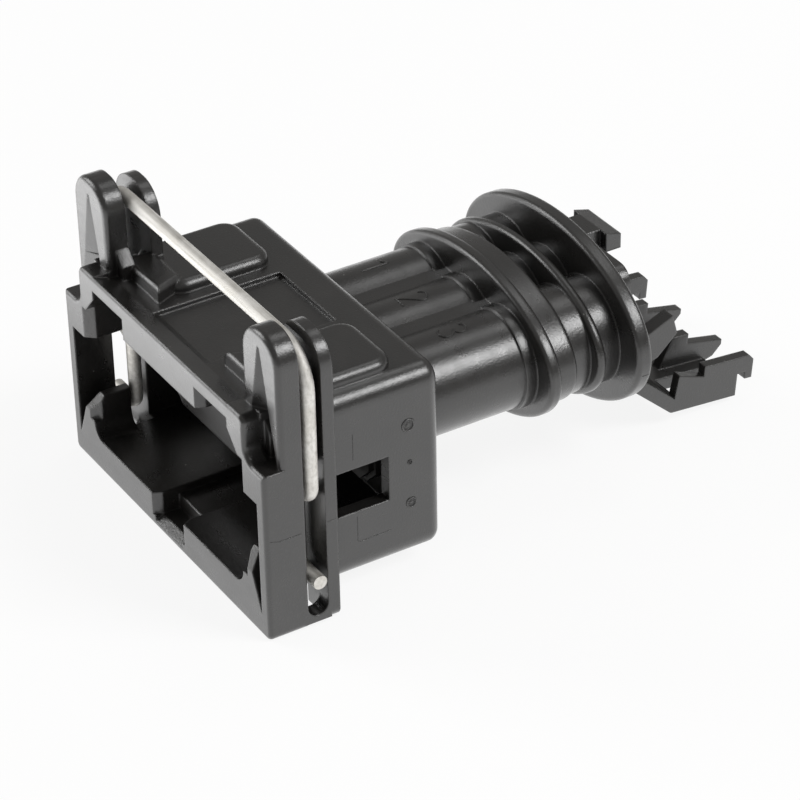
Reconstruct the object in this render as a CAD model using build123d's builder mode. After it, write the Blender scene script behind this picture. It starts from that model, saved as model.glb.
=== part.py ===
# Sealed three-way plug connector with a spring wire latch and a hinged rear lock.
# Millimetres. X is the width, +Y runs from the mouth to the rear, +Z is up.
# The origin is on the middle contact's axis, at the front face of the mouth.

import os
from math import asin, cos, degrees, radians, sin

from build123d import *

# Contact row
ways = 3
contact_pitch = 5.0
axis_height = 8.7  # contact axis above the resting face

# Mouth frame, heights counted from the resting face
frame_width = 27.5
frame_height = 15.65
frame_depth = 2.9
front_lip = 1.3  # depth of the front layer, ahead of the ears
corner_width = 2.4  # notch in each upper corner of the front layer
corner_level = 12.5
frame_foot = -0.4
corner_fillet = 1.0
corner_round = 0.6
front_round = 0.3
bottom_round = 0.5
top_band = 1.6
band_slope = 0.5  # fall of the frame's top face towards the shell

# Mouth cavity
side_wall = 0.95
post_inset = 2.3
post_level = 10.0
mouth_floor = 2.2
ceiling_wall = 1.05
shoulder_width = 1.25
shoulder_height = 1.4
shoulder_drop = 0.7  # below the ceiling
key_width = 10.6
key_drop = 1.6
key_length = 7.0
keyway_width = 3.8
keyway_length = 1.9  # of the deep part in the frame
keyway_depth = 1.75  # in the frame
keyway_run = 0.6  # depth where it runs on through the shell
keyway_lead = 0.35
side_lead = 0.35  # lead-ins of the key and keyway, across
post_lead = 0.6  # lead-ins of the posts and stubs, across
lead_depth = 0.65  # lead-ins, along Y
stub_land = 0.7
stub_top = 5.2
stub_fall = 1.2  # lead-in on the stub's top
stub_fall_depth = 0.9
stub_fillet = 1.2
slot_floor = 1.4

# Ears that guard the latch wire
ear_top = 21.7
ear_width = 4.5
ear_toe = 11.8
ear_round = 2.0
ear_rim = 0.4
scoop_top = 20.6
scoop_tip = 0.12
scoop_middle_half = 1.15
scoop_middle_depth = 0.75
scoop_depth = 1.0
scoop_edge = 0.35
fin_top = 21.0
fin_ear_width = 4.9
fin_ear_round = 2.2
fin_thickness = 0.85
fin_foot_round = 0.8
web_foot = -0.1
web_thickness = 1.2
web_overlap = 0.2
foot_rise = 0.9  # small gusset at the inner foot of each ear
foot_thickness = 0.9

# Shell behind the frame
flank_inset = 1.75  # flank behind the side face of the frame
body_bottom = 0.9
body_length = 11.4
body_round = 1.3
rear_round = 0.85
shell_wall = 1.0
shell_top_wall = 1.5
rear_wall = 1.5
window_setback = 1.0  # behind the fins
window_length = 3.95
window_low = 6.0
window_high = 9.4

# Label recess and raised pads on the shell
label_width = 7.4
label_length = 9.8
label_depth = 0.35
label_ramp = 0.6
pad_inner = 4.75
pad_edge = 1.1  # pad to the flank
pad_rise = 0.8
pad_rear_gap = 2.6
pad_corner = 1.4
pad_round = 0.65
step_rise = 1.05  # blocks ahead of the pads
step_front = 2.6
step_rear = 4.9
step_inner_front = 4.5
step_inner_rear = 5.5
step_overlap = 0.35  # into the ear
step_round = 0.4

# Core that carries the contacts
core_recess = 4.9
core_wall = 0.9
core_height = 6.8
core_chamfer = 1.2
core_face_wall = 1.0

# Neck, flanges and collar
barrel_radius = 3.55
web_height = 6.1  # fills the valleys between the barrels
barrel_step = 0.15
barrel_step_length = 0.9
rear_barrel_radius = 3.9
neck_length = 9.8
flange_round = 0.3
flange_1_width = 20.6
flange_1_height = 11.0
flange_1_thick = 1.0
collar_inset = 0.7
collar_drop = 0.35
collar_length = 1.7
gap_1 = 1.5
flange_2_width = 19.7
flange_2_height = 10.4
flange_2_thick = 0.7
gap_2 = 1.7
flange_3_width = 22.2
flange_3_height = 13.0
flange_3_thick = 1.2
rear_block_length = 1.0
rear_block_height = 9.6

# Latch wire
wire_diameter = 1.0
groove_clearance = 0.28
wire_top = 20.15
wire_leg_clearance = 0.8  # leg to the shell flank
wire_bend = 2.8
wire_jog_bend = 0.9
wire_jog_top = 9.7
wire_jog_depth = 2.1
wire_end_level = 3.2
wire_end_reach = 0.35  # end past the outer face of the frame
wire_travel = 2.0
slot_clearance = 0.35

# Contacts and their steel over-springs
contact_width = 3.0
contact_height = 2.1
contact_sheet = 0.3
contact_box_length = 7.0
contact_neck_length = 1.7
wire_crimp_radius = 1.15
strip_width = 1.7
wire_crimp_length = 3.6
crimp_gap = 0.8
seal_crimp_length = 2.8
spring_sheet = 0.16
spring_length = 6.6
spring_clearance = 0.02
lance_width = 1.3
lance_length = 2.5
lance_rise = 0.5
cavity_clearance = 0.12
lance_clearance = 0.25
blade_slot_width = 3.2
blade_slot_height = 1.2
blade_lead = 0.35

# Wire seals
bore_radius = 2.1
seal_clearance = 0.05
seal_wire_radius = 0.85
seal_length = 6.0
seal_ribs = 3
seal_rib_depth = 0.35
seal_neck_radius = 1.45
seal_gap = 0.1  # along Y, between the seal and its contact

# Interface seal on the core
gasket_length = 1.9
gasket_thickness = 0.6
gasket_rib = 0.25
gasket_rib_length = 0.5
gasket_clearance = 0.05

# Rear lock flap
hinge_level = 3.9
hinge_gap = 0.2
plate = 1.0
base_angle = -42.0
base_length = 4.3
comb_length = 5.5
comb_low = 0.04
flap_width = 13.8
flap_wall = 0.75
wire_slot_clearance = 0.2
wire_slot_root = 0.45  # from the knee
latch_clearance = 0.25

# Walls of the flap: distances along the comb from the knee, heights above its middle line
outer_root = 0.3
outer_height = 2.4
outer_dip_at = 2.5
outer_dip = 1.8
outer_finger = 2.6
outer_reach = 1.3  # past the end of the comb
hook_length = 0.6
hook_low = 0.7
hook_arch = 1.25
inner_root = 1.3
inner_hump_at = 2.5
inner_hump = 2.9
hump_length = 1.4
inner_finger = 2.1
finger_reach = 1.5  # past the end of the comb
finger_fall = 0.4
nose_height = 1.3
nose_length = 0.7

# Catch tab and side cheeks at the rear
tab_low = 12.1
tab_thickness = 1.5
tab_slope = 0.35
tab_stem_half = 1.3
tab_head_length = 1.25
cheek_clearance = 0.3
cheek_thickness = 1.1
cheek_low = 6.0
cheek_height = 2.2
cheek_rise = 1.5
cheek_waist = 2.4
cheek_length = 4.0
cheek_lean = 0.4


def level(height):
    """Z of a height above the resting face."""
    return height - axis_height


def section(y):
    """Sketch plane across the connector; extruding by a positive amount runs to the front."""
    return Plane.XZ.offset(-y)


def both_sides(points):
    """Close a half outline, given from the bottom to the top at +X, by its mirror image."""
    return points + [(-x, z) for x, z in reversed(points)]


def along(start, angle, distance):
    """Point at a distance from start, in a direction given in degrees."""
    return (start[0] + distance * cos(radians(angle)), start[1] + distance * sin(radians(angle)))


def core_outline(grow):
    """Outline of the contact core, enlarged by grow on every side."""
    rectangle = Rectangle(core_width + 2 * grow, core_height + 2 * grow)
    chamfer(rectangle.vertices(), core_chamfer)


# Places along X
columns = [contact_pitch * (index - (ways - 1) / 2) for index in range(ways)]
frame_half = frame_width / 2
body_half = frame_half - flank_inset
ear_inner = frame_half - ear_width
mouth_half = frame_half - side_wall
upper_half = mouth_half - post_inset
shell_half = body_half - shell_wall
pad_outer = body_half - pad_edge
leg_x = body_half + wire_leg_clearance + wire_diameter / 2
jog_x = leg_x - wire_jog_depth
end_x = frame_half + wire_end_reach

# Heights
body_top = frame_height - band_slope
mouth_ceiling = frame_height - ceiling_wall
shell_ceiling = body_top - shell_top_wall

# Places along Y, from the mouth to the rear
groove_width = wire_diameter + 2 * groove_clearance
wire_y = frame_depth + groove_width / 2
fin_front = frame_depth + groove_width
fin_rear = fin_front + fin_thickness
body_rear = frame_depth + body_length
shell_end = body_rear - rear_wall
flange_1_front = body_rear + neck_length
collar_front = flange_1_front + flange_1_thick
collar_rear = collar_front + collar_length
flange_2_front = collar_rear + gap_1
flange_2_rear = flange_2_front + flange_2_thick
flange_3_front = flange_2_rear + gap_2
flange_3_rear = flange_3_front + flange_3_thick
rear_face = flange_3_rear + rear_block_length

# Contact, over-spring and cavity sizes
spring_width = contact_width + 2 * (spring_sheet + spring_clearance)
spring_height = contact_height + 2 * (spring_sheet + spring_clearance)
cavity_width = spring_width + 2 * cavity_clearance
cavity_height = spring_height + 2 * cavity_clearance
core_width = contact_pitch * (ways - 1) + cavity_width + 2 * core_wall
cavity_front = core_recess + core_face_wall
spring_front = cavity_front + cavity_clearance
spring_rear = spring_front + spring_length
contact_front = spring_front + 2 * spring_sheet
box_rear = contact_front + contact_box_length
wire_crimp_front = box_rear + contact_neck_length
wire_crimp_rear = wire_crimp_front + wire_crimp_length
seal_crimp_front = wire_crimp_rear + crimp_gap
contact_rear = seal_crimp_front + seal_crimp_length
seal_crimp_inner = seal_neck_radius + seal_clearance
seal_crimp_outer = seal_crimp_inner + contact_sheet
seal_front = seal_crimp_front + seal_gap
seal_body_front = contact_rear + seal_gap
seal_rear = seal_body_front + seal_length
lance_tip = spring_rear - spring_sheet
lance_root = lance_tip - lance_length

# Rear lock flap
hinge = (rear_face + hinge_gap + plate / 2, level(hinge_level))
knee = along(hinge, base_angle, base_length)
comb_angle = -degrees(asin((knee[1] - level(comb_low) - plate / 2) / comb_length))
flap_swing = 90 - comb_angle
flap_half = flap_width / 2
closed_comb_y = along(hinge, base_angle + flap_swing, base_length)[0]
tab_rear = closed_comb_y - plate / 2 - latch_clearance
tab_half = contact_pitch / 2 - flap_wall / 2 - latch_clearance / 2


def comb_point(distance, height):
    """Point on the flap's comb: distance from the knee, height above its middle line."""
    return along(along(knee, comb_angle, distance), comb_angle + 90, height)


# Flanges and collar of the housing, with rounded rims
with BuildPart() as flanges:
    collar_width = flange_1_width - 2 * collar_inset
    collar_height = flange_1_height - 2 * collar_drop
    for width, height, front, thick in (
        (collar_width, collar_height, flange_1_front, flange_1_thick + collar_length),
        (flange_1_width, flange_1_height, flange_1_front, flange_1_thick),
        (flange_2_width, flange_2_height, flange_2_front, flange_2_thick),
        (flange_3_width, flange_3_height, flange_3_front, flange_3_thick),
    ):
        with BuildSketch(section(front + thick)):
            Ellipse(width / 2, height / 2)
        extrude(amount=thick)
        fillet(edges(Select.LAST).group_by(SortBy.LENGTH)[-1], flange_round)

# Raised pads on the shell, part of the housing
pad_low = level(body_top - body_round / 2)
with BuildPart() as pads:
    pad_front = (step_front + step_rear) / 2
    pad_rear = body_rear - pad_rear_gap
    pad_middle = (pad_outer + pad_inner) / 2
    with BuildSketch(Plane.XY.offset(pad_low)):
        with Locations(*[(x, (pad_front + pad_rear) / 2) for x in (pad_middle, -pad_middle)]):
            RectangleRounded(pad_outer - pad_inner, pad_rear - pad_front, pad_corner)
    extrude(amount=level(body_top + pad_rise) - pad_low)
    fillet(edges().group_by(Axis.Z)[-1], pad_round)

# Blocks ahead of the pads, part of the housing
with BuildPart() as blocks:
    with BuildSketch(Plane.XY.offset(pad_low)):
        Polygon(
            (step_inner_front, step_front),
            (ear_inner + step_overlap, step_front),
            (ear_inner + step_overlap, step_rear),
            (step_inner_rear, step_rear),
            align=None,
        )
        mirror(about=Plane.YZ)
    extrude(amount=level(body_top + step_rise) - pad_low)
    fillet(edges().group_by(Axis.Z)[-1], step_round)

# Front ears with a rounded front rim, part of the housing
ear_x = frame_half - ear_width / 2
with BuildPart() as ears:
    ear_middle = (level(ear_top) + level(ear_toe)) / 2
    with BuildSketch(section(frame_depth)):
        with Locations((ear_x, ear_middle), (-ear_x, ear_middle)):
            Rectangle(ear_width, ear_top - ear_toe)
        fillet(vertices().group_by(Axis.Y)[-1], ear_round)
    extrude(amount=frame_depth - front_lip)
    fillet(edges().group_by(Axis.Y)[0].sort_by(Axis.Z)[2:], ear_rim)

# Housing, one moulding
with BuildPart() as housing:
    # Front layer of the frame, with a notch in each upper corner
    frame_outline = [
        (frame_half, level(frame_foot)),
        (frame_half, level(corner_level)),
        (frame_half - corner_width, level(corner_level)),
        (frame_half - corner_width, level(frame_height)),
    ]
    with BuildSketch(section(front_lip)):
        Polygon(*both_sides(frame_outline), align=None)
        fillet(vertices().group_by(Axis.Y)[1].sort_by(Axis.X)[1:3], corner_fillet)
        fillet(vertices().group_by(Axis.Y)[-1], corner_round)
        fillet(vertices().group_by(Axis.Y)[0], bottom_round)
    extrude(amount=front_lip)
    fillet(edges().group_by(Axis.Y)[0], front_round)

    # Rear layer of the frame, up to the wire groove, with the front ears
    with BuildSketch(section(frame_depth)):
        Polygon(*both_sides(frame_outline), align=None)
        fillet(vertices().group_by(Axis.Y)[0], bottom_round)
    extrude(amount=frame_depth - front_lip)
    add(ears.part)

    # Scoop in the front of each ear, a groove that widens down to the band
    notch_x = frame_half - corner_width
    for side in (1, -1):
        for height, half, depth in (
            (frame_height, scoop_middle_half, scoop_middle_depth),
            (scoop_top, scoop_tip, scoop_tip),
        ):
            with BuildSketch(Plane.XY.offset(level(height))):
                Polygon(
                    (side * (ear_x - half), front_lip),
                    (side * (ear_x + half), front_lip),
                    (side * ear_x, front_lip + depth),
                    align=None,
                )
        loft(mode=Mode.SUBTRACT)

    # The outer half of the scoop, which runs on down to the notch
    for side in (1, -1):
        for height, outer, depth in (
            (corner_level, frame_half - scoop_edge, scoop_depth),
            (frame_height, ear_x + scoop_middle_half, scoop_middle_depth),
        ):
            with BuildSketch(Plane.XY.offset(level(height))):
                Polygon(
                    (side * notch_x, front_lip),
                    (side * outer, front_lip),
                    (side * notch_x, front_lip + depth),
                    align=None,
                )
        loft(mode=Mode.SUBTRACT)

    # Shell
    with BuildSketch(section(body_rear)):
        with Locations((0, level((body_top + body_bottom) / 2))):
            RectangleRounded(2 * body_half, body_top - body_bottom, body_round)
    extrude(amount=body_rear - top_band)
    fillet(faces().sort_by(Axis.Y)[-1].edges(), rear_round)

    # Top face of the frame between the ears, falling towards the shell
    with BuildSketch(Plane.YZ.offset(-ear_inner)):
        Polygon(
            (0, level(frame_height)),
            (top_band, level(body_top)),
            (frame_depth, level(body_top)),
            (frame_depth, level(frame_height)),
            align=None,
        )
    extrude(amount=2 * ear_inner, mode=Mode.SUBTRACT)

    # Small gussets at the inner feet of the ears
    step_top = body_top + step_rise
    with BuildSketch(section(frame_depth)):
        Polygon(
            (ear_inner, level(body_top - ceiling_wall / 2)),
            (ear_inner, level(step_top + foot_rise)),
            (ear_inner - foot_rise, level(step_top)),
            (ear_inner - foot_rise, level(body_top - ceiling_wall / 2)),
            align=None,
        )
        mirror(about=Plane.YZ)
    extrude(amount=foot_thickness)

    # Bare label recess, with a ramp at its front
    label_floor = level(body_top - label_depth)
    with BuildSketch(Plane.YZ.offset(-label_width / 2)):
        Polygon(
            (top_band, level(body_top)),
            (top_band + label_ramp, label_floor),
            (top_band + label_length, label_floor),
            (top_band + label_length, level(body_top)),
            align=None,
        )
    extrude(amount=label_width, mode=Mode.SUBTRACT)

    # Side fins, which rise into the rear ears
    with BuildSketch(section(fin_rear)):
        Polygon(
            (shell_half, level(frame_foot)),
            (frame_half, level(frame_foot)),
            (frame_half, level(fin_top)),
            (frame_half - fin_ear_width, level(fin_top)),
            (frame_half - fin_ear_width, level(body_top - body_round)),
            (shell_half, level(body_top - body_round)),
            align=None,
        )
        fillet(vertices().group_by(Axis.Y)[-1], fin_ear_round)
        fillet(vertices().group_by(Axis.Y)[0].sort_by(Axis.X)[-1], fin_foot_round)
        mirror(about=Plane.YZ)
    extrude(amount=fin_thickness)

    # Pads and blocks on the shell
    add(pads.part)
    add(blocks.part)

    # Mouth: guide stubs, side slots and posts in the frame, a plain shaft in the shell
    with BuildSketch(section(frame_depth)):
        mouth_outline = [
            (upper_half, level(mouth_floor)),
            (upper_half, level(stub_top)),
            (upper_half + stub_land, level(stub_top)),
            (mouth_half, level(slot_floor)),
            (mouth_half, level(post_level)),
            (upper_half, level(post_level)),
            (upper_half, level(mouth_ceiling - shoulder_drop - shoulder_height)),
            (upper_half - shoulder_width, level(mouth_ceiling - shoulder_drop)),
            (upper_half - shoulder_width, level(mouth_ceiling)),
        ]
        Polygon(*both_sides(mouth_outline), align=None)
        fillet(vertices().group_by(Axis.Y)[1], stub_fillet)
    extrude(amount=frame_depth, mode=Mode.SUBTRACT)
    with BuildSketch(section(shell_end)):
        with Locations((0, level(mouth_floor))):
            Rectangle(2 * shell_half, shell_ceiling - mouth_floor, align=(Align.CENTER, Align.MIN))
        with Locations((0, level(mouth_floor))):
            Rectangle(keyway_width, 2 * keyway_run)
    extrude(amount=shell_end - frame_depth, mode=Mode.SUBTRACT)

    # Lead-ins of the posts and stubs
    for low, high in (
        (mouth_floor + stub_fillet, stub_top),
        (post_level, mouth_ceiling - shoulder_drop - shoulder_height),
    ):
        with BuildSketch(Plane.XY.offset(level(low))):
            Polygon(
                (upper_half, 0),
                (upper_half + post_lead, 0),
                (upper_half, lead_depth),
                align=None,
            )
            mirror(about=Plane.YZ)
        extrude(amount=high - low, mode=Mode.SUBTRACT)
    with BuildSketch(Plane.YZ.offset(-mouth_half)):
        Polygon(
            (0, level(stub_top - stub_fall)),
            (stub_fall_depth, level(stub_top)),
            (0, level(stub_top)),
            align=None,
        )
    extrude(amount=2 * mouth_half, mode=Mode.SUBTRACT)

    # Keyway: deep and flared in the frame, shallower behind it
    keyway_half = keyway_width / 2
    keyway_floor = level(mouth_floor - keyway_depth)
    with BuildSketch(Plane.XY.offset(keyway_floor)):
        Polygon(
            (-keyway_half - side_lead, 0),
            (keyway_half + side_lead, 0),
            (keyway_half, lead_depth),
            (keyway_half, keyway_length),
            (-keyway_half, keyway_length),
            (-keyway_half, lead_depth),
            align=None,
        )
    extrude(amount=keyway_depth, mode=Mode.SUBTRACT)
    with BuildSketch(section(frame_depth)):
        with Locations((0, level(mouth_floor))):
            Rectangle(keyway_width, 2 * keyway_run)
    extrude(amount=frame_depth - keyway_length, mode=Mode.SUBTRACT)
    with BuildSketch(Plane.YZ.offset(-keyway_half)):
        Polygon(
            (0, keyway_floor),
            (0, keyway_floor - keyway_lead),
            (lead_depth, keyway_floor),
            align=None,
        )
    extrude(amount=keyway_width, mode=Mode.SUBTRACT)

    # Key block under the ceiling, flared back from its front face
    key_half = key_width / 2
    key_seat = (body_top - label_depth - mouth_ceiling) / 2
    with BuildSketch(Plane.XY.offset(level(mouth_ceiling - key_drop))):
        Polygon(
            (side_lead - key_half, 0),
            (key_half - side_lead, 0),
            (key_half, lead_depth),
            (key_half, key_length),
            (-key_half, key_length),
            (-key_half, lead_depth),
            align=None,
        )
    extrude(amount=key_drop + key_seat)

    # Core
    with BuildSketch(section(body_rear)):
        core_outline(0)
    extrude(amount=body_rear - core_recess)

    # Side slots for the latch wire
    slot_low = wire_end_level - wire_diameter / 2 - wire_travel - slot_clearance
    slot_high = wire_jog_top + wire_diameter / 2 + wire_jog_bend
    slot_inner = jog_x - wire_diameter / 2 - slot_clearance
    with BuildSketch(section(fin_front)):
        Polygon(
            (slot_inner, level(slot_low)),
            (frame_half, level(slot_low)),
            (frame_half, level(slot_high)),
            (slot_inner, level(slot_high)),
            align=None,
        )
        mirror(about=Plane.YZ)
    extrude(amount=groove_width, mode=Mode.SUBTRACT)

    # Round bottom of the wire groove, a web that ties the frame to each fin
    wire_low = level(wire_end_level - wire_travel)
    for start in (frame_half - web_thickness, -frame_half):
        with BuildSketch(Plane.YZ.offset(start)):
            Polygon(
                (frame_depth - web_overlap, level(web_foot)),
                (fin_front + web_overlap, level(web_foot)),
                (fin_front + web_overlap, wire_low),
                (frame_depth - web_overlap, wire_low),
                align=None,
            )
            with Locations(((frame_depth + fin_front) / 2, wire_low)):
                Circle(groove_width / 2, mode=Mode.SUBTRACT)
        extrude(amount=web_thickness)

    # Window in each flank
    with BuildSketch(section(fin_rear + window_setback + window_length)):
        Polygon(
            (shell_half, level(window_low)),
            (body_half, level(window_low)),
            (body_half, level(window_high)),
            (shell_half, level(window_high)),
            align=None,
        )
        mirror(about=Plane.YZ)
    extrude(amount=window_length, mode=Mode.SUBTRACT)

    # Neck barrels, with a small step ahead of the first flange
    for radius, front, rear in (
        (barrel_radius, shell_end, flange_1_front),
        (barrel_radius + barrel_step, flange_1_front - barrel_step_length, flange_1_front),
        (rear_barrel_radius, flange_1_front, flange_3_rear),
    ):
        with BuildSketch(section(rear)):
            with Locations(*[(x, 0) for x in columns]):
                Circle(radius)
        extrude(amount=rear - front)
    with BuildSketch(section(flange_1_front)):
        Rectangle(contact_pitch * (ways - 1), web_height)
    extrude(amount=flange_1_front - shell_end)

    # Flanges and collar
    add(flanges.part)

    # Rear block, which carries the hinge of the lock flap
    with BuildSketch(section(rear_face)):
        RectangleRounded(flap_width, rear_block_height, body_round)
    extrude(amount=rear_block_length)

    # Catch tab: a narrow stem and a wider head with a sloping top
    for half, front, rear in (
        (tab_stem_half, flange_3_rear, tab_rear),
        (tab_half, tab_rear - tab_head_length, tab_rear),
    ):
        with BuildSketch(Plane.YZ.offset(-half)):
            Polygon(
                (front, level(tab_low)),
                (rear, level(tab_low)),
                (rear, level(tab_low + tab_thickness - tab_slope)),
                (tab_rear - tab_head_length, level(tab_low + tab_thickness)),
                (front, level(tab_low + tab_thickness)),
                align=None,
            )
        extrude(amount=2 * half)

    # Side cheeks beside the flap
    cheek_inner = flap_half + cheek_clearance
    for start, thick in ((cheek_inner, cheek_thickness), (-cheek_inner, -cheek_thickness)):
        with BuildSketch(Plane.YZ.offset(start)):
            Polygon(
                (flange_3_rear, level(cheek_low)),
                (flange_3_rear + cheek_waist, level(cheek_low + cheek_rise / 2)),
                (flange_3_rear + cheek_length, level(cheek_low + cheek_height)),
                (flange_3_rear + cheek_length - cheek_lean, level(cheek_low + cheek_height + cheek_rise)),
                (flange_3_rear, level(cheek_low + cheek_height)),
                align=None,
            )
        extrude(amount=thick)

    # Contact cavities, blade entries and seal bores
    with BuildSketch(section(box_rear + contact_neck_length)):
        with Locations(*[(x, 0) for x in columns]):
            Rectangle(cavity_width, cavity_height)
    extrude(amount=box_rear + contact_neck_length - cavity_front, mode=Mode.SUBTRACT)
    with BuildSketch(section(rear_face)):
        with Locations(*[(x, 0) for x in columns]):
            Circle(bore_radius)
    extrude(amount=rear_face - box_rear - contact_neck_length, mode=Mode.SUBTRACT)
    with BuildSketch(section(cavity_front)):
        with Locations(*[(x, 0) for x in columns]):
            Rectangle(blade_slot_width, blade_slot_height)
    extrude(amount=core_face_wall, mode=Mode.SUBTRACT)
    with BuildSketch(section(core_recess + blade_lead)):
        with Locations(*[(x, 0) for x in columns]):
            Rectangle(blade_slot_width + 2 * blade_lead, blade_slot_height + 2 * blade_lead)
    extrude(amount=blade_lead, mode=Mode.SUBTRACT)

    # Pockets that the contact lances lock into
    pocket_half = spring_height / 2 + lance_rise + lance_clearance
    with BuildSketch(section(lance_tip + lance_clearance)):
        with Locations(*[(x, 0) for x in columns]):
            Rectangle(lance_width + 2 * lance_clearance, 2 * pocket_half)
    extrude(amount=lance_length + 2 * lance_clearance, mode=Mode.SUBTRACT)

# Spring wire latch, bent from one length of round wire
with BuildPart() as latch_wire:
    half_route = [
        (end_x, level(wire_end_level)),
        (jog_x, level(wire_end_level)),
        (jog_x, level(wire_jog_top - wire_jog_depth / 2)),
        (leg_x, level(wire_jog_top)),
        (leg_x, level(wire_top)),
    ]
    with BuildLine(section(wire_y)) as wire_route:
        half_radii = [wire_jog_bend, wire_jog_bend, wire_jog_bend, wire_bend]
        FilletPolyline(*both_sides(half_route), radius=half_radii + half_radii[::-1])
    with BuildSketch(Plane(origin=wire_route.line @ 0, z_dir=wire_route.line % 0)):
        Circle(wire_diameter / 2)
    sweep(path=wire_route.line)

# Rear lock flap, hinged under the rear face
with BuildPart() as rear_lock_flap:
    base_middle = along(hinge, base_angle, base_length / 2)
    comb_middle = along(knee, comb_angle, comb_length / 2)
    with BuildSketch(Plane.YZ.offset(-flap_half)):
        with Locations(hinge, knee):
            Circle(plate / 2)
        with Locations(Location((*base_middle, 0), (0, 0, base_angle))):
            Rectangle(base_length, plate)
        with Locations(Location((*comb_middle, 0), (0, 0, comb_angle))):
            Rectangle(comb_length, plate)
    extrude(amount=flap_width)

    # Slots that the wires pass through when the flap is closed
    wire_slot = 2 * (seal_wire_radius + wire_slot_clearance)
    slot_outline = [
        comb_point(wire_slot_root, plate),
        comb_point(comb_length + plate, plate),
        comb_point(comb_length + plate, -plate),
        comb_point(wire_slot_root, -plate),
    ]
    for column in columns:
        with BuildSketch(Plane.YZ.offset(column - wire_slot / 2)):
            Polygon(*slot_outline, align=None)
        extrude(amount=wire_slot, mode=Mode.SUBTRACT)

    # Outer walls
    for start in (-flap_half, flap_half - flap_wall):
        with BuildSketch(Plane.YZ.offset(start)):
            Polygon(
                comb_point(0, 0),
                comb_point(outer_root, outer_height),
                comb_point(outer_dip_at, outer_dip),
                comb_point(outer_dip_at, outer_finger),
                comb_point(comb_length + outer_reach - finger_fall, outer_finger),
                comb_point(comb_length + outer_reach, outer_finger - finger_fall),
                comb_point(comb_length + outer_reach, hook_low),
                comb_point(comb_length + outer_reach - hook_length, hook_low),
                comb_point(comb_length + outer_reach - hook_length, hook_arch),
                comb_point(comb_length, hook_arch),
                comb_point(comb_length, 0),
                align=None,
            )
        extrude(amount=flap_wall)

    # Inner walls, which run out into fingers between the wires
    for column in columns[:-1]:
        with BuildSketch(Plane.YZ.offset(column + contact_pitch / 2 - flap_wall / 2)):
            Polygon(
                comb_point(inner_root, 0),
                comb_point(inner_hump_at, inner_hump),
                comb_point(inner_hump_at + hump_length, inner_hump),
                comb_point(inner_hump_at + hump_length, inner_finger),
                comb_point(comb_length + finger_reach, inner_finger - finger_fall),
                comb_point(comb_length + finger_reach, nose_height),
                comb_point(comb_length + finger_reach - nose_length, plate / 2),
                comb_point(comb_length - nose_length, 0),
                align=None,
            )
        extrude(amount=flap_wall)

# Interface seal round the root of the core
with BuildPart() as interface_seal:
    with BuildSketch(section(shell_end)):
        core_outline(gasket_thickness)
    extrude(amount=gasket_length)
    for share in (1 / 3, 2 / 3):
        rear = shell_end - gasket_length * share + gasket_rib_length / 2
        with BuildSketch(section(rear)):
            core_outline(gasket_thickness + gasket_rib)
        extrude(amount=gasket_rib_length)
    with BuildSketch(section(shell_end)):
        core_outline(gasket_clearance)
    extrude(amount=gasket_length, mode=Mode.SUBTRACT)

os.makedirs("parts", exist_ok=True)
for name, piece in (
    ("housing", housing),
    ("latch_wire", latch_wire),
    ("rear_lock_flap", rear_lock_flap),
    ("interface_seal", interface_seal),
):
    piece.part.label = name
    export_step(piece.part, f"parts/{name}.step")

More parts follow.
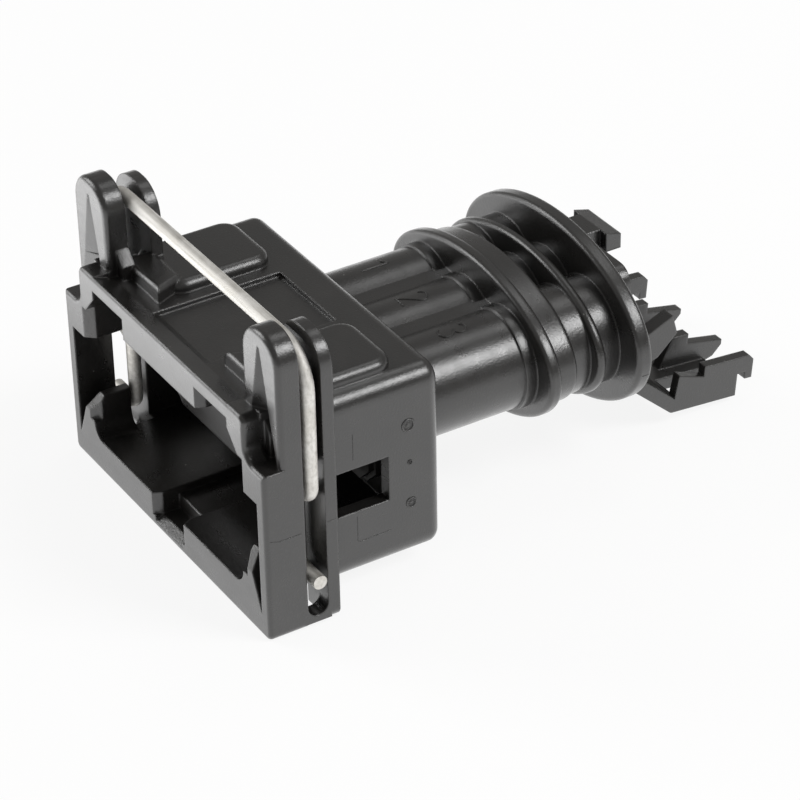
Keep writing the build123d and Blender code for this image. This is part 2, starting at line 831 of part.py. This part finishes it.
# Contacts, over-springs and wire seals, one of each to a way
for index, x in enumerate(columns, start=1):
    # Receptacle contact, folded from brass sheet
    with BuildPart() as contact:
        with BuildSketch(section(box_rear)):
            with Locations((x, 0)):
                Rectangle(contact_width, contact_height)
                Rectangle(
                    contact_width - 2 * contact_sheet,
                    contact_height - 2 * contact_sheet,
                    mode=Mode.SUBTRACT,
                )
        extrude(amount=contact_box_length)
        with BuildSketch(section(seal_crimp_front)):
            with Locations((x, -contact_height / 2)):
                Rectangle(strip_width, contact_sheet, align=(Align.CENTER, Align.MIN))
        extrude(amount=seal_crimp_front - box_rear + contact_sheet)
        with BuildSketch(section(seal_crimp_front)):
            with Locations((x, -seal_crimp_outer)):
                Rectangle(strip_width, seal_crimp_outer, align=(Align.CENTER, Align.MIN))
            with Locations((x, 0)):
                Circle(seal_crimp_outer, mode=Mode.INTERSECT)
                Circle(wire_crimp_radius - contact_sheet, mode=Mode.SUBTRACT)
        extrude(amount=contact_sheet)
        for radius, rear, length in (
            (wire_crimp_radius, wire_crimp_rear, wire_crimp_length),
            (seal_crimp_outer, contact_rear, seal_crimp_length),
        ):
            with BuildSketch(section(rear)):
                with Locations((x, 0)):
                    Circle(radius)
            extrude(amount=length)
            with BuildSketch(section(rear)):
                with Locations((x, 0)):
                    Circle(radius - contact_sheet)
            extrude(amount=length, mode=Mode.SUBTRACT)

    # Steel over-spring, a sleeve with a lance on its top and its bottom
    with BuildPart() as contact_spring:
        with BuildSketch(section(spring_rear)):
            with Locations((x, 0)):
                Rectangle(spring_width, spring_height)
        extrude(amount=spring_length)
        lance_low = spring_height / 2 - spring_sheet
        with BuildSketch(Plane.YZ.offset(x - lance_width / 2)):
            Polygon(
                (lance_root, lance_low),
                (lance_tip, lance_low + lance_rise),
                (lance_tip, lance_low + lance_rise + spring_sheet),
                (lance_root, lance_low + spring_sheet),
                align=None,
            )
            mirror(about=Plane.XZ)
        extrude(amount=lance_width)
        with BuildSketch(section(spring_rear)):
            with Locations((x, 0)):
                Rectangle(contact_width + 2 * spring_clearance, contact_height + 2 * spring_clearance)
        extrude(amount=spring_length, mode=Mode.SUBTRACT)

    # Wire seal: a ribbed rubber plug with a thin neck for the contact to grip
    with BuildPart() as wire_seal:
        rib_pitch = seal_length / seal_ribs
        outer = bore_radius - seal_clearance
        with BuildSketch(section(seal_rear)):
            with Locations((x, 0)):
                Circle(outer - seal_rib_depth)
        extrude(amount=seal_length)
        for rib in range(seal_ribs):
            with BuildSketch(section(seal_rear - rib * rib_pitch)):
                with Locations((x, 0)):
                    Circle(outer)
            extrude(amount=rib_pitch / 2)
        with BuildSketch(section(seal_body_front)):
            with Locations((x, 0)):
                Circle(seal_neck_radius)
        extrude(amount=seal_body_front - seal_front)
        with BuildSketch(section(seal_rear)):
            with Locations((x, 0)):
                Circle(seal_wire_radius)
        extrude(amount=seal_rear - seal_front, mode=Mode.SUBTRACT)

    for name, piece in (
        (f"contact_{index}", contact),
        (f"contact_spring_{index}", contact_spring),
        (f"wire_seal_{index}", wire_seal),
    ):
        piece.part.label = name
        export_step(piece.part, f"parts/{name}.step")
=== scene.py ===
import math

import bmesh
import bpy
from mathutils import Matrix, Vector
from mathutils.bvhtree import BVHTree


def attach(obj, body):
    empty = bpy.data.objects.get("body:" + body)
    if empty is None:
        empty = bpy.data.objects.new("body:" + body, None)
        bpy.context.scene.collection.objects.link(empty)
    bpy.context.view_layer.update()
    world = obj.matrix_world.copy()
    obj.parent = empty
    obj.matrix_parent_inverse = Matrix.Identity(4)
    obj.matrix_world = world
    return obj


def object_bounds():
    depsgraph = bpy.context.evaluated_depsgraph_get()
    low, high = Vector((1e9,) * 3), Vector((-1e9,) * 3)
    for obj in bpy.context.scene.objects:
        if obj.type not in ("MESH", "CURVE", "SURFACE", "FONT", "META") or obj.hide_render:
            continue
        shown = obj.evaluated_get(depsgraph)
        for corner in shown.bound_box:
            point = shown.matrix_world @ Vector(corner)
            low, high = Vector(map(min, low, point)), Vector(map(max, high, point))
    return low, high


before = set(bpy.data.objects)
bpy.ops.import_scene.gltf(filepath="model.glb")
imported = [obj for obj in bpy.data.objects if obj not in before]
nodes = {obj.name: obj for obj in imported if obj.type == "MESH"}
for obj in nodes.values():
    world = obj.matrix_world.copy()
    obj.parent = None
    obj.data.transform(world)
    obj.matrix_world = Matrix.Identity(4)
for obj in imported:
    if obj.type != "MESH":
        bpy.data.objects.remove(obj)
cad_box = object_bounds()
scene = bpy.context.scene
scene.view_settings.view_transform = "Standard"

# Lengths are in millimetres in the part's frame, unless a name ends in _m or _px
MM = 0.001

# Moulded numerals on the barrels
contact_pitch = 5.0
numeral_y = 19.6
numeral_scale = 1.1
numeral_width = 0.17
numeral_height = 0.055
above_barrels = 12.0

# Moulded lines and marks on the flanks; a mark's ring and pip are (share of its radius, height)
outside_flank = 20.0
parting_line = {"width": 0.07, "height": 0.02}
insert_line = {"width": 0.06, "height": 0.018}
ridge_sink = 0.03
ridge_crest = 0.56
mark_segments = 28
mark_ring = ((1.0, -0.02), (0.9, 0.05), (0.74, 0.05), (0.62, 0.008))
mark_pip = ((0.34, 0.008), (0.24, 0.035), (0.08, 0.035))

# Radius of the edges in the plastic's shading
edge_radius = 0.20

# Floor and light: the lamps' places and sizes are in metres, their power in watts
floor_half_size_m = 2.0
floor_gap = 0.02
table_gap = 0.01
floor_glow = 0.88
dome_strength = 0.36
aim_m = Vector((0.0, 0.018, 0.0))

# Camera, as fitted to the photograph
camera_azimuth = 59.016
camera_elevation = 33.023
camera_roll = -1.196
camera_distance = 172.653
camera_target = (42.981, -7.388, 28.243)
focal_length_px = 3354.77
image_width_px = 800
sensor_width = 36
clip_start = 5.0


# A node tree, with short names for the nodes that are used here
class Graph:
    def __init__(self, tree):
        tree.nodes.clear()
        self.nodes = tree.nodes
        self.links = tree.links

    def add(self, kind, inputs=None, **settings):
        node = self.nodes.new(kind)
        for name, value in settings.items():
            setattr(node, name, value)
        for name, source in (inputs or {}).items():
            self.feed(node.inputs[name], source)
        return node

    # Link an output to a socket, or set the socket to a constant
    def feed(self, socket, source):
        if isinstance(source, bpy.types.NodeSocket):
            self.links.new(source, socket)
        else:
            socket.default_value = source

    def noise(self, coords, scale, detail, roughness=0.55, stretch=None):
        if stretch:
            mapping = self.add("ShaderNodeMapping", {"Vector": coords, "Scale": stretch})
            coords = mapping.outputs["Vector"]
        inputs = {"Vector": coords, "Scale": scale, "Detail": detail, "Roughness": roughness}
        return self.add("ShaderNodeTexNoise", inputs).outputs["Fac"]

    def ramp(self, factor, stops):
        node = self.add("ShaderNodeValToRGB", {"Fac": factor})
        first, last = node.color_ramp.elements
        first.position, first.color = stops[0]
        last.position, last.color = stops[-1]
        for position, color in stops[1:-1]:
            node.color_ramp.elements.new(position).color = color
        return node.outputs["Color"]

    # Map a value from one range to another, each given as (low, high)
    def remap(self, value, source, target):
        inputs = {"Value": value, "From Min": source[0], "From Max": source[1]}
        inputs |= {"To Min": target[0], "To Max": target[1]}
        return self.add("ShaderNodeMapRange", inputs).outputs["Result"]

    def calculate(self, operation, first, second):
        return self.add("ShaderNodeMath", {0: first, 1: second}, operation=operation).outputs["Value"]

    def mix(self, factor, first, second, blend="MIX"):
        inputs = {"Factor": factor, "A": first, "B": second}
        return self.add("ShaderNodeMix", inputs, data_type="RGBA", blend_type=blend).outputs["Result"]

    def bump(self, height, strength, distance, normal=None):
        inputs = {"Height": height, "Strength": strength, "Distance": distance}
        if normal:
            inputs["Normal"] = normal
        return self.add("ShaderNodeBump", inputs).outputs["Normal"]


# A material with one Principled shader
def principled(name, constants):
    material = bpy.data.materials.new(name)
    material.use_nodes = True
    graph = Graph(material.node_tree)
    shader = graph.add("ShaderNodeBsdfPrincipled", constants)
    graph.add("ShaderNodeOutputMaterial", {"Surface": shader.outputs["BSDF"]})
    coords = graph.add("ShaderNodeTexCoord").outputs["Object"]
    return material, graph, shader, coords


# A grey that leans to the warm side by a share of its value
def grey(value, warm=0.0):
    return (value * (1 + warm), value, value * (1 - warm), 1)


# Pale dust specks: the middles of a few scattered cells
def dust_specks(graph, coords):
    cells = graph.add("ShaderNodeTexVoronoi", {"Vector": coords, "Scale": 780.0})
    speck = graph.remap(cells.outputs["Distance"], (0.035, 0.060), (1.0, 0.0))
    pick = graph.add("ShaderNodeSeparateColor", {"Color": cells.outputs["Color"]})
    few = graph.remap(pick.outputs["Red"], (0.86, 0.90), (0.0, 0.8))
    return graph.calculate("MULTIPLY", speck, few)


# Wear where the rounded normal leaves the true one, broken up by noise
def edge_wear(graph, coords, rounded_normal):
    true_normal = graph.add("ShaderNodeNewGeometry").outputs["Normal"]
    inputs = {0: rounded_normal, 1: true_normal}
    turn = graph.add("ShaderNodeVectorMath", inputs, operation="DOT_PRODUCT").outputs["Value"]
    edge = graph.remap(turn, (0.70, 0.99), (1.0, 0.0))
    broken = graph.remap(graph.noise(coords, scale=900.0, detail=4.0), (0.42, 0.66), (0.0, 0.8))
    return graph.calculate("MULTIPLY", edge, broken)


# Black moulded plastic: satin, fine grain, faint scuffs, dust specks and paler worn edges
def plastic_material():
    material, graph, shader, coords = principled("black_plastic", {"Specular IOR Level": 0.75})
    rounded = graph.add("ShaderNodeBevel", {"Radius": edge_radius * MM}, samples=4).outputs["Normal"]
    patches = graph.noise(coords, scale=260.0, detail=4.0)
    grain = graph.noise(coords, scale=6500.0, detail=2.0)
    blacks = [(0.3, grey(0.0080, 0.05)), (0.55, grey(0.0105, 0.06)), (0.75, grey(0.0140, 0.07))]
    flecks = [(0.60, grey(0.0)), (0.78, grey(0.012, 0.03))]
    tint = graph.mix(1.0, graph.ramp(patches, blacks), graph.ramp(grain, flecks), "ADD")
    worn = graph.mix(edge_wear(graph, coords, rounded), tint, grey(0.050, 0.04))
    dusty = graph.mix(dust_specks(graph, coords), worn, grey(0.22, 0.03))
    graph.feed(shader.inputs["Base Color"], dusty)
    scuffs = graph.noise(coords, scale=1100.0, detail=5.0, roughness=0.6, stretch=(0.35, 1.0, 1.0))
    graph.feed(shader.inputs["Roughness"], graph.remap(scuffs, (0.3, 0.7), (0.26, 0.34)))
    unevenness = graph.noise(coords, scale=520.0, detail=2.0)
    swell = graph.bump(unevenness, strength=0.02, distance=0.06 * MM, normal=rounded)
    graph.feed(shader.inputs["Normal"], graph.bump(grain, strength=0.60, distance=0.02 * MM, normal=swell))
    return material


# Drawn spring wire: pale dull steel with lengthwise streaks and darker spots
def wire_material():
    material, graph, shader, coords = principled("latch_steel", {"Metallic": 1.0})
    streaks = graph.noise(coords, scale=5200.0, detail=4.0, roughness=0.6, stretch=(0.03, 1.0, 0.6))
    blotches = graph.noise(coords, scale=700.0, detail=4.0)
    steels = [(0.30, (0.56, 0.55, 0.525, 1)), (0.5, (0.69, 0.68, 0.655, 1)), (0.72, (0.79, 0.78, 0.76, 1))]
    spots = [(0.35, (0.80, 0.79, 0.77, 1)), (0.65, (1.0, 1.0, 1.0, 1))]
    color = graph.mix(1.0, graph.ramp(streaks, steels), graph.ramp(blotches, spots), "MULTIPLY")
    graph.feed(shader.inputs["Base Color"], color)
    graph.feed(shader.inputs["Roughness"], graph.remap(blotches, (0.3, 0.7), (0.62, 0.76)))
    graph.feed(shader.inputs["Normal"], graph.bump(streaks, strength=0.25, distance=0.02 * MM))
    return material


# Rolled sheet metal: fine rolling lines along Y, rougher where it is tarnished
def sheet_material(name, low, middle, high, rough_bright, rough_tarnished):
    material, graph, shader, coords = principled(name, {"Metallic": 1.0})
    lines = graph.noise(coords, scale=6000.0, detail=3.0, roughness=0.6, stretch=(1.0, 0.05, 1.0))
    tarnish = graph.noise(coords, scale=420.0, detail=5.0)
    graph.feed(shader.inputs["Base Color"], graph.ramp(tarnish, [(0.3, low), (0.52, middle), (0.75, high)]))
    graph.feed(shader.inputs["Roughness"], graph.remap(tarnish, (0.3, 0.7), (rough_tarnished, rough_bright)))
    graph.feed(shader.inputs["Normal"], graph.bump(lines, strength=0.2, distance=0.015 * MM))
    return material


# Silicone rubber: matt, slightly mottled, with fine moulding grain
def rubber_material(name, low, middle, high):
    material, graph, shader, coords = principled(name, {"Specular IOR Level": 0.35})
    mottle = graph.noise(coords, scale=600.0, detail=4.0)
    grain = graph.noise(coords, scale=8000.0, detail=2.0)
    graph.feed(shader.inputs["Base Color"], graph.ramp(mottle, [(0.3, low), (0.55, middle), (0.75, high)]))
    graph.feed(shader.inputs["Roughness"], graph.remap(mottle, (0.3, 0.7), (0.62, 0.78)))
    graph.feed(shader.inputs["Normal"], graph.bump(grain, strength=0.3, distance=0.02 * MM))
    return material


plastic = plastic_material()
dark_rubber = rubber_material("seal_rubber", grey(0.024, 0.03), grey(0.031, 0.03), grey(0.040, 0.03))
red_rubber = rubber_material(
    "wire_seal_rubber", (0.24, 0.055, 0.03, 1), (0.30, 0.07, 0.04, 1), (0.36, 0.095, 0.055, 1))
brass = sheet_material(
    "contact_brass", (0.50, 0.38, 0.19, 1), (0.70, 0.56, 0.31, 1), (0.80, 0.67, 0.42, 1), 0.24, 0.42)
steel = sheet_material(
    "spring_steel", (0.42, 0.43, 0.44, 1), (0.55, 0.56, 0.57, 1), (0.66, 0.66, 0.67, 1), 0.24, 0.40)
materials = {
    "housing": plastic,
    "rear_lock_flap": plastic,
    "latch_wire": wire_material(),
    "interface_seal": dark_rubber,
}
for way in (1, 2, 3):
    materials[f"contact_{way}"] = brass
    materials[f"contact_spring_{way}"] = steel
    materials[f"wire_seal_{way}"] = red_rubber
for name, material in materials.items():
    nodes[name].data.materials.clear()
    nodes[name].data.materials.append(material)

# Fine moulded detail is laid on the housing's surface
shell_mesh = nodes["housing"].data
shell_tree = BVHTree.FromPolygons(
    [vertex.co for vertex in shell_mesh.vertices], [face.vertices[:] for face in shell_mesh.polygons])


# The place and normal where a ray meets the housing
def on_shell(point, direction):
    return shell_tree.ray_cast(Vector(point) * MM, Vector(direction))[:2]


# A finished piece of plastic that rides on the shell
def mesh_piece(name, bm):
    bmesh.ops.recalc_face_normals(bm, faces=bm.faces[:])
    mesh = bpy.data.meshes.new(name)
    bm.to_mesh(mesh)
    bm.free()
    mesh.materials.append(plastic)
    piece = bpy.data.objects.new(name, mesh)
    scene.collection.objects.link(piece)
    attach(piece, "shell")


# Faces between two rings of points
def bridge(bm, first, second):
    count = len(first)
    for k in range(count):
        after = (k + 1) % count
        bm.faces.new((first[k], first[after], second[after], second[k]))


# A low closed ridge along points that are projected on the shell
def ridge(bm, points, direction, width, height):
    foot = 0.5 * width
    crest = foot * ridge_crest
    section = ((-foot, -ridge_sink), (-crest, height), (crest, height), (foot, -ridge_sink))
    hits = [on_shell(point, direction) for point in points]
    rings = []
    for index, (place, normal) in enumerate(hits):
        along = hits[min(index + 1, len(hits) - 1)][0] - hits[max(index - 1, 0)][0]
        side = normal.cross(along).normalized()
        rings.append([bm.verts.new(place + side * (a * MM) + normal * (b * MM)) for a, b in section])
    for near, far in zip(rings, rings[1:]):
        bridge(bm, near, far)
    bm.faces.new(rings[0][::-1])
    bm.faces.new(rings[-1])


# Points of an arc, angles in degrees
def arc(center, radius, start, end, steps=14):
    angles = [math.radians(start + (end - start) * k / steps) for k in range(steps + 1)]
    return [(center[0] + radius * math.cos(a), center[1] + radius * math.sin(a)) for a in angles]


# Points of a straight stretch
def line(first, last, steps=4):
    return [tuple(a + (b - a) * k / steps for a, b in zip(first, last)) for k in range(steps + 1)]


# Numerals on the crowns of the barrels, read with +Y upwards: strokes in a field of -1 to 1
numeral_strokes = {
    1: (line((-0.34, 0.60), (0.06, 0.98)), line((0.06, 1.0), (0.06, -1.0), 6)),
    2: (
        arc((0, 0.5), 0.48, 165, -38) + line((0.30, 0.10), (-0.46, -0.92)),
        line((-0.5, -0.96), (0.5, -0.96)),
    ),
    3: (arc((0, 0.5), 0.45, 150, -88), arc((0, -0.47), 0.5, 88, -150)),
}
for way, strokes in numeral_strokes.items():
    bm = bmesh.new()
    x, y = (way - 2) * contact_pitch, numeral_y
    for stroke in strokes:
        points = [(x + numeral_scale * u, y + numeral_scale * v, above_barrels) for u, v in stroke]
        ridge(bm, points, (0, 0, -1), numeral_width, numeral_height)
    mesh_piece(f"numeral_{way}", bm)

# Lines on the flanks as (y, z): the parting line on frame, fin and rear flange, then the mould insert's edge
flank_lines = (
    (line((0.35, -1.24), (1.0, -1.43)) + line((1.3, -1.43), (2.6, -1.43)), parting_line),
    ([(y, -1.25) for y in (4.58, 4.9, 5.22)], parting_line),
    ([(y, -1.0) for y in (31.1, 31.4, 31.65)], parting_line),
    ([(7.6, z) for z in (3.4, 2.8, 2.0, 1.4)], insert_line),
    (line((7.8, -3.1), (7.8, -5.05)) + line((7.95, -5.12), (10.4, -5.12)), insert_line),
)
bm = bmesh.new()
for side in (1, -1):
    for route, section in flank_lines:
        ridge(bm, [(side * outside_flank, y, z) for y, z in route], (-side, 0, 0), **section)
mesh_piece("parting_lines", bm)


# One ejector mark: a raised ring around a shallow dish with a pip
def ejector_mark(bm, place, normal, radius):
    rings = []
    for share, height in mark_ring + mark_pip:
        ring = []
        for k in range(mark_segments):
            angle = 2 * math.pi * k / mark_segments
            reach = radius * share
            offset = Vector((normal.x * height, reach * math.cos(angle), reach * math.sin(angle)))
            ring.append(bm.verts.new(place + offset * MM))
        rings.append(ring)
    for outer, inner in zip(rings, rings[1:]):
        bridge(bm, outer, inner)
    bm.faces.new(rings[-1])
    bm.faces.new(rings[0])


# Ejector marks on both flanks as (y, z, radius)
flank_marks = ((11.78, 2.62, 0.54), (11.93, -3.5, 0.44), (11.88, -0.31, 0.2))
bm = bmesh.new()
for side in (1, -1):
    for y, z, radius in flank_marks:
        place, normal = on_shell((side * outside_flank, y, z), (-side, 0, 0))
        ejector_mark(bm, place, normal, radius)
mesh_piece("ejector_marks", bm)


# Floor material: white to the camera and in reflections, with the object's soft shadow
def floor_material():
    material = bpy.data.materials.new("floor")
    material.use_nodes = True
    graph = Graph(material.node_tree)
    path = graph.add("ShaderNodeLightPath").outputs
    seen = graph.calculate("MAXIMUM", path["Is Camera Ray"], path["Is Glossy Ray"])
    seen = graph.calculate("MAXIMUM", seen, path["Is Transmission Ray"])
    share = graph.calculate("MULTIPLY", seen, floor_glow)
    diffuse = graph.add("ShaderNodeBsdfDiffuse", {"Color": grey(0.90)}).outputs["BSDF"]
    glow = graph.add("ShaderNodeEmission", {"Color": grey(1.0), "Strength": 1.0}).outputs["Emission"]
    surface = graph.add("ShaderNodeMixShader", {"Fac": share, 1: diffuse, 2: glow}).outputs["Shader"]
    graph.add("ShaderNodeOutputMaterial", {"Surface": surface})
    return material


rest_z = cad_box[0][2]
bm = bmesh.new()
bmesh.ops.create_grid(bm, x_segments=1, y_segments=1, size=floor_half_size_m)
floor_mesh = bpy.data.meshes.new("floor")
bm.to_mesh(floor_mesh)
bm.free()
floor_mesh.materials.append(floor_material())
floor = bpy.data.objects.new("floor", floor_mesh)
floor.location = (0, 0, rest_z - floor_gap * MM)
scene.collection.objects.link(floor)

# World: white to the camera, a soft slightly warm dome for the light
world = bpy.data.worlds.new("studio")
scene.world = world
world.use_nodes = True
sky = Graph(world.node_tree)
seen = sky.add("ShaderNodeLightPath").outputs["Is Camera Ray"]
dome = sky.add("ShaderNodeBackground", {"Color": (1.0, 0.985, 0.96, 1), "Strength": dome_strength})
white = sky.add("ShaderNodeBackground", {"Color": grey(1.0), "Strength": 1.0})
inputs = {"Fac": seen, 1: dome.outputs["Background"], 2: white.outputs["Background"]}
sky.add("ShaderNodeOutputWorld", {"Surface": sky.add("ShaderNodeMixShader", inputs).outputs["Shader"]})


# A square soft box, hidden from the camera
def soft_box(name, place, direction, size, power):
    data = bpy.data.lights.new(name, "AREA")
    data.shape = "RECTANGLE"
    data.size = size
    data.size_y = size
    data.energy = power
    lamp = bpy.data.objects.new(name, data)
    lamp.location = place
    lamp.rotation_euler = direction.to_track_quat("-Z", "Y").to_euler()
    lamp.visible_camera = False
    scene.collection.objects.link(lamp)


# Soft boxes around the object: front left, upper right rear, and above the rear
for name, place, size, power in (
    ("key", (-0.30, -0.22, 0.19), 0.20, 0.80),
    ("rim", (0.21, 0.18, 0.27), 0.14, 0.85),
    ("top", (-0.08, 0.19, 0.36), 0.13, 0.12),
):
    soft_box(name, place, aim_m - Vector(place), size, power)

# Light table under the object: a broad soft glow from the floor, stronger in front of the mouth
table_z = rest_z - table_gap * MM
upwards = Vector((0, 0, 1))
soft_box("table", (0, 0, table_z), upwards, 0.60, 0.60)
soft_box("card", (-0.085, -0.09, table_z), upwards, 0.16, 0.20)

# Camera at the photograph's viewing angle
azimuth = math.radians(camera_azimuth)
elevation = math.radians(camera_elevation)
roll = math.radians(camera_roll)
level = math.cos(elevation)
back = Vector((math.sin(azimuth) * level, -math.cos(azimuth) * level, math.sin(elevation)))
right = Vector((math.cos(azimuth), math.sin(azimuth), 0))
up = back.cross(right)
rolled_right = right * math.cos(roll) + up * math.sin(roll)
rolled_up = up * math.cos(roll) - right * math.sin(roll)
camera_data = bpy.data.cameras.new("camera")
camera_data.sensor_width = sensor_width
camera_data.lens = sensor_width * focal_length_px / image_width_px
camera_data.clip_start = clip_start * MM
camera = bpy.data.objects.new("camera", camera_data)
place = (Vector(camera_target) + back * camera_distance) * MM
turn = Matrix((rolled_right, rolled_up, back)).transposed().to_4x4()
camera.matrix_world = Matrix.Translation(place) @ turn
scene.collection.objects.link(camera)
scene.camera = camera
